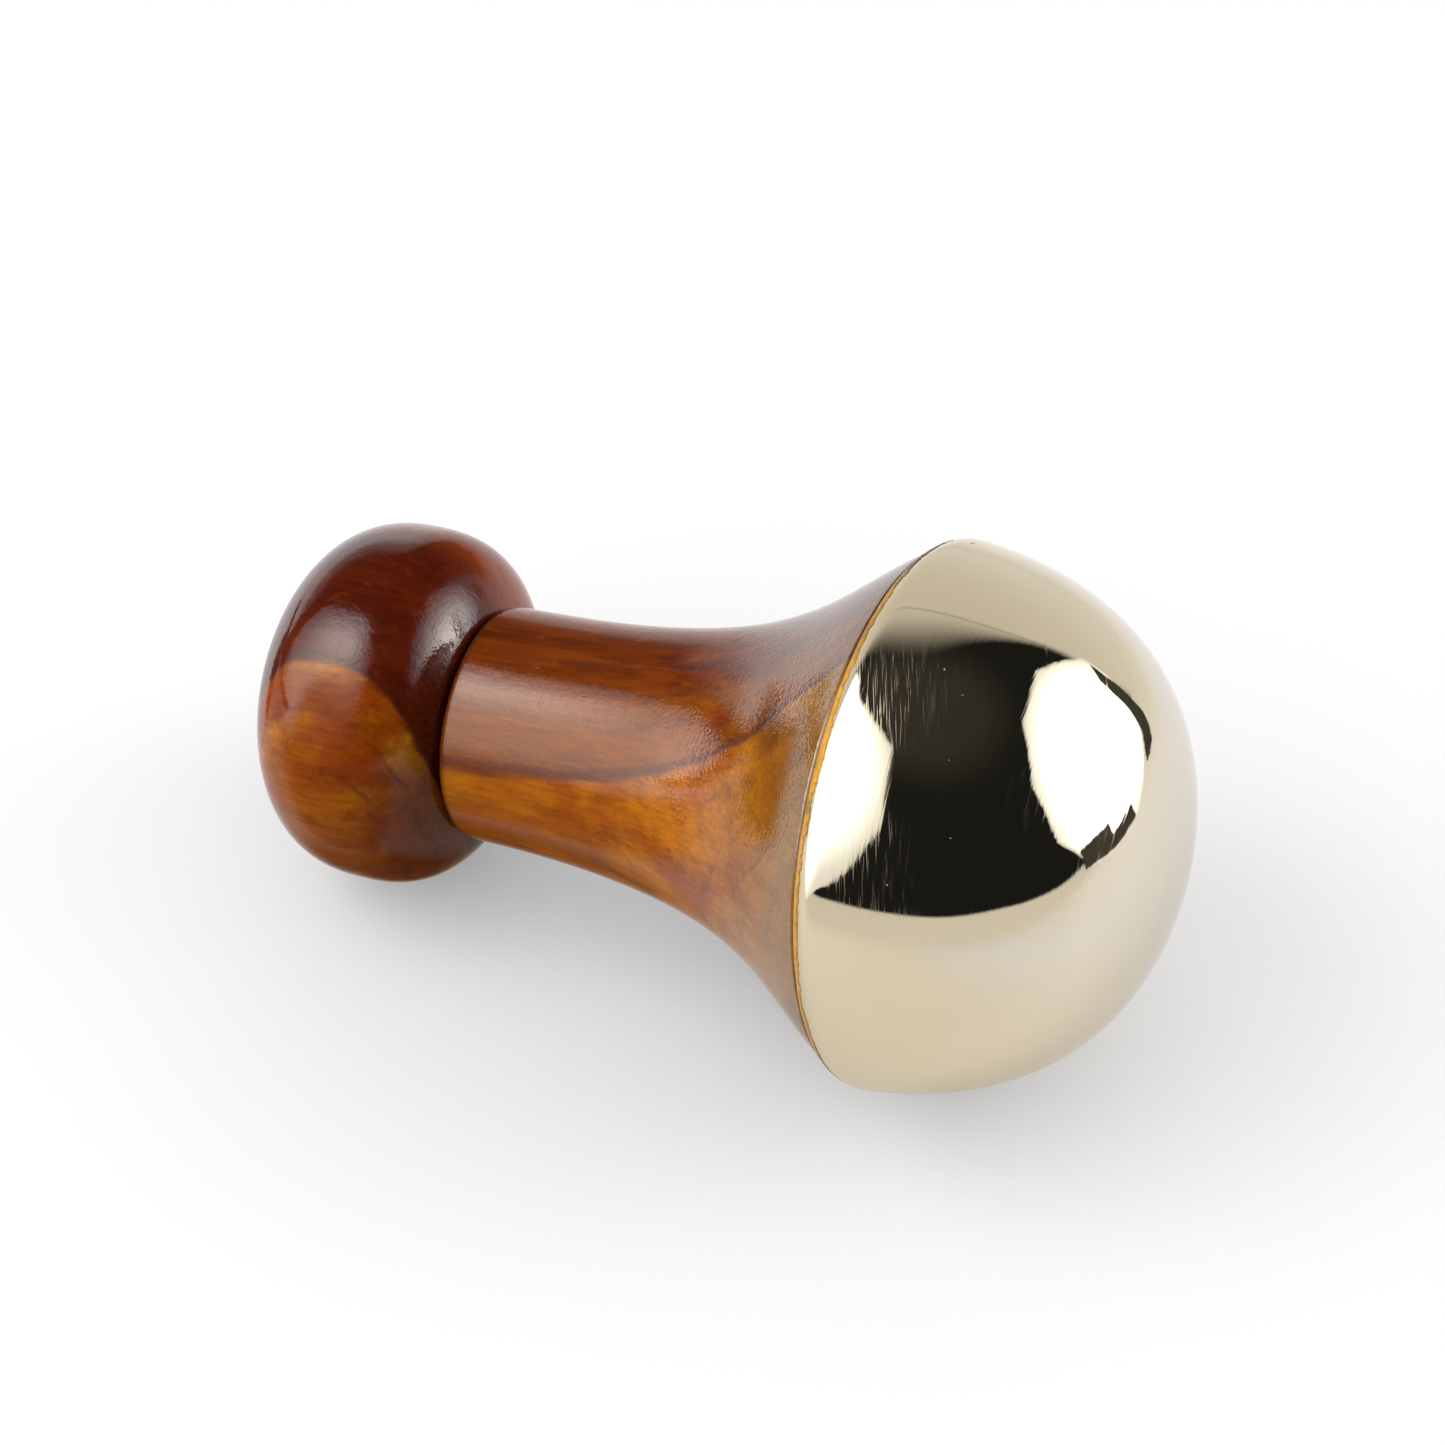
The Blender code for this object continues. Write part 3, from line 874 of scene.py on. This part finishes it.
def bead_section(angle):
    """Thin ragged fillet that laps over the metal shoulder.  lap is the share
    of the shoulder's curve that it covers."""
    steps = 6
    root_radius = COLLAR_RADIUS - 1.0 * MM
    low = SHOULDER_FACE + 0.02 * MM
    lap = (0.235 + 0.06 * ring_noise(angle, 2.0, 1) + 0.075 * ring_noise(angle, 20.0, 2)
           + 0.040 * ring_noise(angle, 60.0, 5, depth=2))
    lap = max(0.13, lap)
    thick = (0.16 + 0.05 * ring_noise(angle, 3.0, 3) + 0.02 * ring_noise(angle, 30.0, 4)) * MM
    points = [(root_radius, low), (COLLAR_RADIUS - 0.35 * MM, low - 0.04 * MM)]
    surface = shoulder_curve(steps, end=lap)
    for i, (radius, station) in enumerate(surface):
        lift = thick * (1 - (i / steps) ** 4) ** 0.5
        if i == 0:
            lift *= 0.6
        points.append((radius + lift * cos(SHOULDER_SLOPE), station - lift * sin(SHOULDER_SLOPE)))
    # back to the root, just under the metal's surface
    radius, station = surface[-1]
    points.append((radius - 0.25 * MM, station + 0.12 * MM))
    points.append((root_radius, COLLAR_STATION + 0.6 * MM))
    return points


finish_piece(build_dome(), metal, "bronze_dome")
finish_piece(build_handle(), handle_wood, "handle")
finish_piece(build_pommel(), ball_wood, "pommel")
finish_piece(ring_mesh("lac_bead", bead_section, BEAD_SEGMENTS), lac,
             "rim_lac_bead")

# ---------------------------------------------------------------------------
# Studio: pale table, two large softboxes, pale sweep behind, dim room
# ---------------------------------------------------------------------------
TABLE_RADIUS = 0.75
TABLE_DROP = 0.00005    # keeps the table just clear of the wand


def table_material():
    """White table: part lit, part glowing so that its shadows stay light.
    Its far edge fades into the backdrop.  Lengths are metres."""
    nodes = Material("table_white")
    position = nodes.signal("ShaderNodeNewGeometry", output="Position")
    x, y, _ = nodes.split(position)
    camera_ray = nodes.signal("ShaderNodeLightPath", output="Is Camera Ray")
    openness = nodes.signal("ShaderNodeAmbientOcclusion", {"Distance": 0.09}, "AO", samples=6)
    shade = 0.35 + openness * 0.65
    # what the camera doesn't see directly is tuned for its reflections
    unseen = 1.0 - camera_ray
    seen = camera_ray * 0.05
    behind = y.rise(0.10, 0.30) * unseen
    ahead = y.fall(-0.06, 0.0) * unseen
    rightwards = (x * 0.97 + y * 0.24).rise(0.02, 0.13)
    rightwards = rightwards * unseen * (1.0 - behind * 0.8)
    tint = nodes.mix(rightwards, (0.985, 0.985, 1.0), (0.97, 1.06, 1.34))
    # painted warm shade: where the wand shuts the table in, its glow turns warm in reflections
    warm_shade = (openness.rest() * unseen).rise(0.25, 0.85)
    glow = 0.655 - (behind * 0.115 + ahead * 0.055)
    nodes.principled({
        "Base Color": (0.155, 0.155, 0.155),
        "Roughness": 0.8,
        "Specular IOR Level": 0.0,
        "Emission Color": nodes.mix(warm_shade, tint, (0.97, 0.84, 0.60)),
        "Emission Strength": shade * (seen + glow)})
    clear = nodes.signal("ShaderNodeBsdfTransparent")
    fade = nodes.vector("LENGTH", position).rise(0.16, 0.70)
    nodes.surface(nodes.mix_shader(fade, nodes.bsdf.outputs[0], clear))
    return nodes.material


def build_table():
    bpy.ops.mesh.primitive_circle_add(vertices=96, radius=TABLE_RADIUS, fill_type="NGON",
                                      location=(0, 0, -TABLE_DROP))
    table = bpy.context.object
    table.name = "table"
    table.data.materials.append(table_material())


build_table()


def heading(azimuth, elevation):
    """Unit vector: azimuth 0 along +Y, 90 along +X, in degrees."""
    turn, tilt = radians(azimuth), radians(elevation)
    return Vector((sin(turn) * cos(tilt), cos(turn) * cos(tilt), sin(tilt)))


def rim_glow_material(name):
    nodes = Material(name)
    nodes.tree.nodes.remove(nodes.bsdf)
    nodes.surface(nodes.signal("ShaderNodeEmission", {"Color": (0.97, 1.0, 1.03),
                                                      "Strength": 1.02}))
    return nodes.material


def panel_glow_material(name, centre, reach, middle_level, hot_centre, hot_size, hot_level):
    """Warm broad middle and a small hot spot; the back of the panel is clear."""
    nodes = Material(name)
    nodes.tree.nodes.remove(nodes.bsdf)
    geometry = nodes.add("ShaderNodeNewGeometry")

    def bell(place, size, power):
        away = nodes.distance_from(geometry.outputs["Position"], tuple(place))
        return 2.718281828 ** ((away / size) ** power * -1.0)

    hot = bell(hot_centre, hot_size, power=2.0)
    middle = bell(centre, reach, power=4.0)
    glow = nodes.signal("ShaderNodeEmission", {
        "Color": nodes.mix(middle, (0.95, 1.0, 1.12), (1.03, 0.98, 0.90)),
        "Strength": 1.12 + middle * middle_level + hot * hot_level})
    clear = nodes.signal("ShaderNodeBsdfTransparent")
    nodes.surface(nodes.mix_shader(geometry.outputs["Backfacing"], glow, clear))
    return nodes.material


def softbox(name, azimuth, elevation, distance, radius, turn, middle_level, hot_level,
            hot_at, hot_size, target, stretch=0.0):
    """Octagonal softbox that shines on the target and isn't seen by the camera.
    turn rotates its corners, in degrees.  hot_at is the hot spot's place across
    and up the panel, in metres.  stretch draws out one side."""
    away = heading(azimuth, elevation)
    across = away.cross(Vector((0, 0, 1))).normalized()
    upward = across.cross(away).normalized()
    centre = Vector(target) + away * distance

    def panel(label, size, setback):
        points = []
        for i in range(96):
            angle = 2 * pi * i / 96
            turned = (angle - radians(turn)) % (pi / 4) - pi / 8
            bulge = (cos(pi / 8) / cos(turned)) ** 0.8
            reach = size * bulge * (1 + 0.012 * ring_noise(angle, 5.0, turn))
            reach *= 1 + stretch * max(0.0, cos(angle - radians(196))) ** 6
            points.append(centre + away * setback + across * (reach * cos(angle))
                          + upward * (reach * sin(angle)))
        obj = add_mesh(label, points, [tuple(range(len(points)))])
        if obj.data.polygons[0].normal.dot(away) > 0:
            obj.data.flip_normals()
        obj.visible_camera = False
        return obj

    box = panel(name, radius, setback=0.0)
    rim = panel(name + "_rim", radius * 1.035, setback=0.004)
    rim.data.materials.append(rim_glow_material(name + "_rim_glow"))
    box.data.materials.append(panel_glow_material(
        name + "_glow", centre, reach=radius * 0.72, middle_level=middle_level,
        hot_centre=centre + across * hot_at[0] + upward * hot_at[1],
        hot_size=hot_size, hot_level=hot_level))


def dark_card(name, points):
    """Small unlit card beside the right softbox, seen only in reflections."""
    obj = add_mesh(name, points, [tuple(range(len(points)))])
    nodes = Material(name + "_black")
    nodes.principled({"Base Color": (0.03, 0.03, 0.028), "Roughness": 0.9,
                      "Specular IOR Level": 0.0})
    obj.data.materials.append(nodes.material)
    for flag in ("visible_camera", "visible_diffuse", "visible_shadow", "visible_transmission"):
        setattr(obj, flag, False)


# outlines of the dark cards: x, y, z in metres
DARK_CARDS = {
    "light_stand_edge": [
        (0.0992, 0.1187, 0.1009), (0.1087, 0.1187, 0.0865), (0.1144, 0.1193, 0.0699),
        (0.1189, 0.1181, 0.0542), (0.1204, 0.1171, 0.0410), (0.1244, 0.1134, 0.0328),
        (0.1298, 0.1082, 0.0282), (0.1383, 0.1004, 0.0294), (0.1447, 0.0938, 0.0316),
        (0.1414, 0.0982, 0.0370), (0.1340, 0.1060, 0.0436), (0.1274, 0.1109, 0.0620),
        (0.1209, 0.1118, 0.0818), (0.1130, 0.1126, 0.0954)],
    "light_stand_foot": [
        (0.1828, -0.0071, 0.0636), (0.1816, 0.0133, 0.0598), (0.1774, 0.0349, 0.0529),
        (0.1776, 0.0346, 0.0411), (0.1751, 0.0393, 0.0282), (0.1813, 0.0178, 0.0354),
        (0.1830, 0.0074, 0.0399), (0.1839, -0.0061, 0.0433)],
    "light_stand_knob": [
        (0.1776, 0.0346, 0.0411), (0.1725, 0.0493, 0.0402), (0.1658, 0.0634, 0.0370),
        (0.1643, 0.0634, 0.0248), (0.1704, 0.0510, 0.0263), (0.1751, 0.0393, 0.0282)],
}
for card_name, card_points in DARK_CARDS.items():
    dark_card(card_name, card_points)

softbox("softbox_right", azimuth=60.5, elevation=22, distance=0.75, radius=0.500, turn=42,
        middle_level=4.8, hot_level=20.0, hot_at=(0.0, -0.13), hot_size=0.22,
        target=WAND @ Vector((0, 0, 70 * MM)))
softbox("softbox_left", azimuth=-128.0, elevation=34.5, distance=0.62, radius=0.555, turn=20,
        middle_level=5.3, hot_level=10.0, hot_at=(0.11, 0.23), hot_size=0.17,
        target=WAND @ Vector((0, 0, 45 * MM)), stretch=0.16)


def sweep_mask(azimuth, elevation):
    """Pale sweep behind the wand, fading out at its arched top edge."""
    top = 60.0 - abs((azimuth + 30.0) / 55.0) ** 2.2 * 37.0
    soft = 5.0 + azimuth.fall(-15.0, 15.0) * 11.0
    high = ((elevation - top) / soft).fall(-1.15, 0.50)
    wide = azimuth.rise(-100.0, -94.0) * azimuth.fall(28.0, 33.0)
    return high * wide


def table_mask(nodes, azimuth, elevation):
    """Everything below the table's edge, whose height changes round the horizon."""
    full_azimuth = azimuth + nodes.math("LESS_THAN", azimuth, -60.0) * 360.0
    rim = 5.4 + (1.0 - full_azimuth.rise(84.0, 138.0)) * -6.6
    left = azimuth.rise(-170.0, -155.0) * azimuth.fall(-110.0, -60.0)
    rim = rim - left * 1.5
    return elevation.fall(rim - 0.8, rim + 0.8)


def studio_world():
    """What reflections see round the wand; the camera sees an even pale grey."""
    scene.world = bpy.data.worlds.new("studio")
    scene.world.use_nodes = True
    nodes = Nodes(scene.world.node_tree)
    nodes.tree.nodes.clear()
    direction = nodes.signal("ShaderNodeTexCoord", output="Generated")
    azimuth, elevation = nodes.compass(*nodes.split(direction))
    pale_area = sweep_mask(azimuth, elevation).max(table_mask(nodes, azimuth, elevation))
    # faint fold across the sweep, bending down towards the right
    fold_height = 42.5 - (azimuth + 8.0).max(0.0) ** 2.0 * 0.016
    fold = abs(elevation - fold_height).fall(0.2, 0.9)
    room = nodes.mix(elevation.rise(52.0, 78.0), (0.013, 0.014, 0.014), (0.042, 0.040, 0.038))
    pale = nodes.mix(elevation.rise(-30.0, 40.0), (0.89, 0.90, 0.91), (0.74, 0.735, 0.725))
    pale = nodes.mix(fold * 0.42, pale, (0.3, 0.3, 0.3))
    mirrored = nodes.signal("ShaderNodeBackground", {0: nodes.mix(pale_area, room, pale)})
    seen = nodes.signal("ShaderNodeBackground", {0: (0.93, 0.93, 0.93)})
    camera_ray = nodes.signal("ShaderNodeLightPath", output="Is Camera Ray")
    nodes.add("ShaderNodeOutputWorld",
              {"Surface": nodes.mix_shader(camera_ray, mirrored, seen)})


studio_world()

# ---------------------------------------------------------------------------
# Camera: looks down at 46 degrees, a long lens, dome nearer than the ball
# ---------------------------------------------------------------------------
CAMERA_PLACE = Vector((0.17943302, -0.39591224, 0.49559747))
CAMERA_RIGHT = Vector((0.91104176, 0.4123141, 0.0)).normalized()
CAMERA_LOOK = Vector((-0.28443574, 0.62848407, -0.72395033)).normalized()


def build_camera():
    data = bpy.data.cameras.new("camera")
    data.sensor_width = 36.0
    data.lens = 124.567
    data.clip_start, data.clip_end = 0.01, 20.0
    camera = bpy.data.objects.new("camera", data)
    scene.collection.objects.link(camera)
    upward = CAMERA_RIGHT.cross(CAMERA_LOOK).normalized()
    columns = CAMERA_RIGHT, upward, -CAMERA_LOOK, CAMERA_PLACE
    camera.matrix_world = Matrix(
        [[column[axis] for column in columns] for axis in range(3)] + [[0, 0, 0, 1]])
    scene.camera = camera


build_camera()
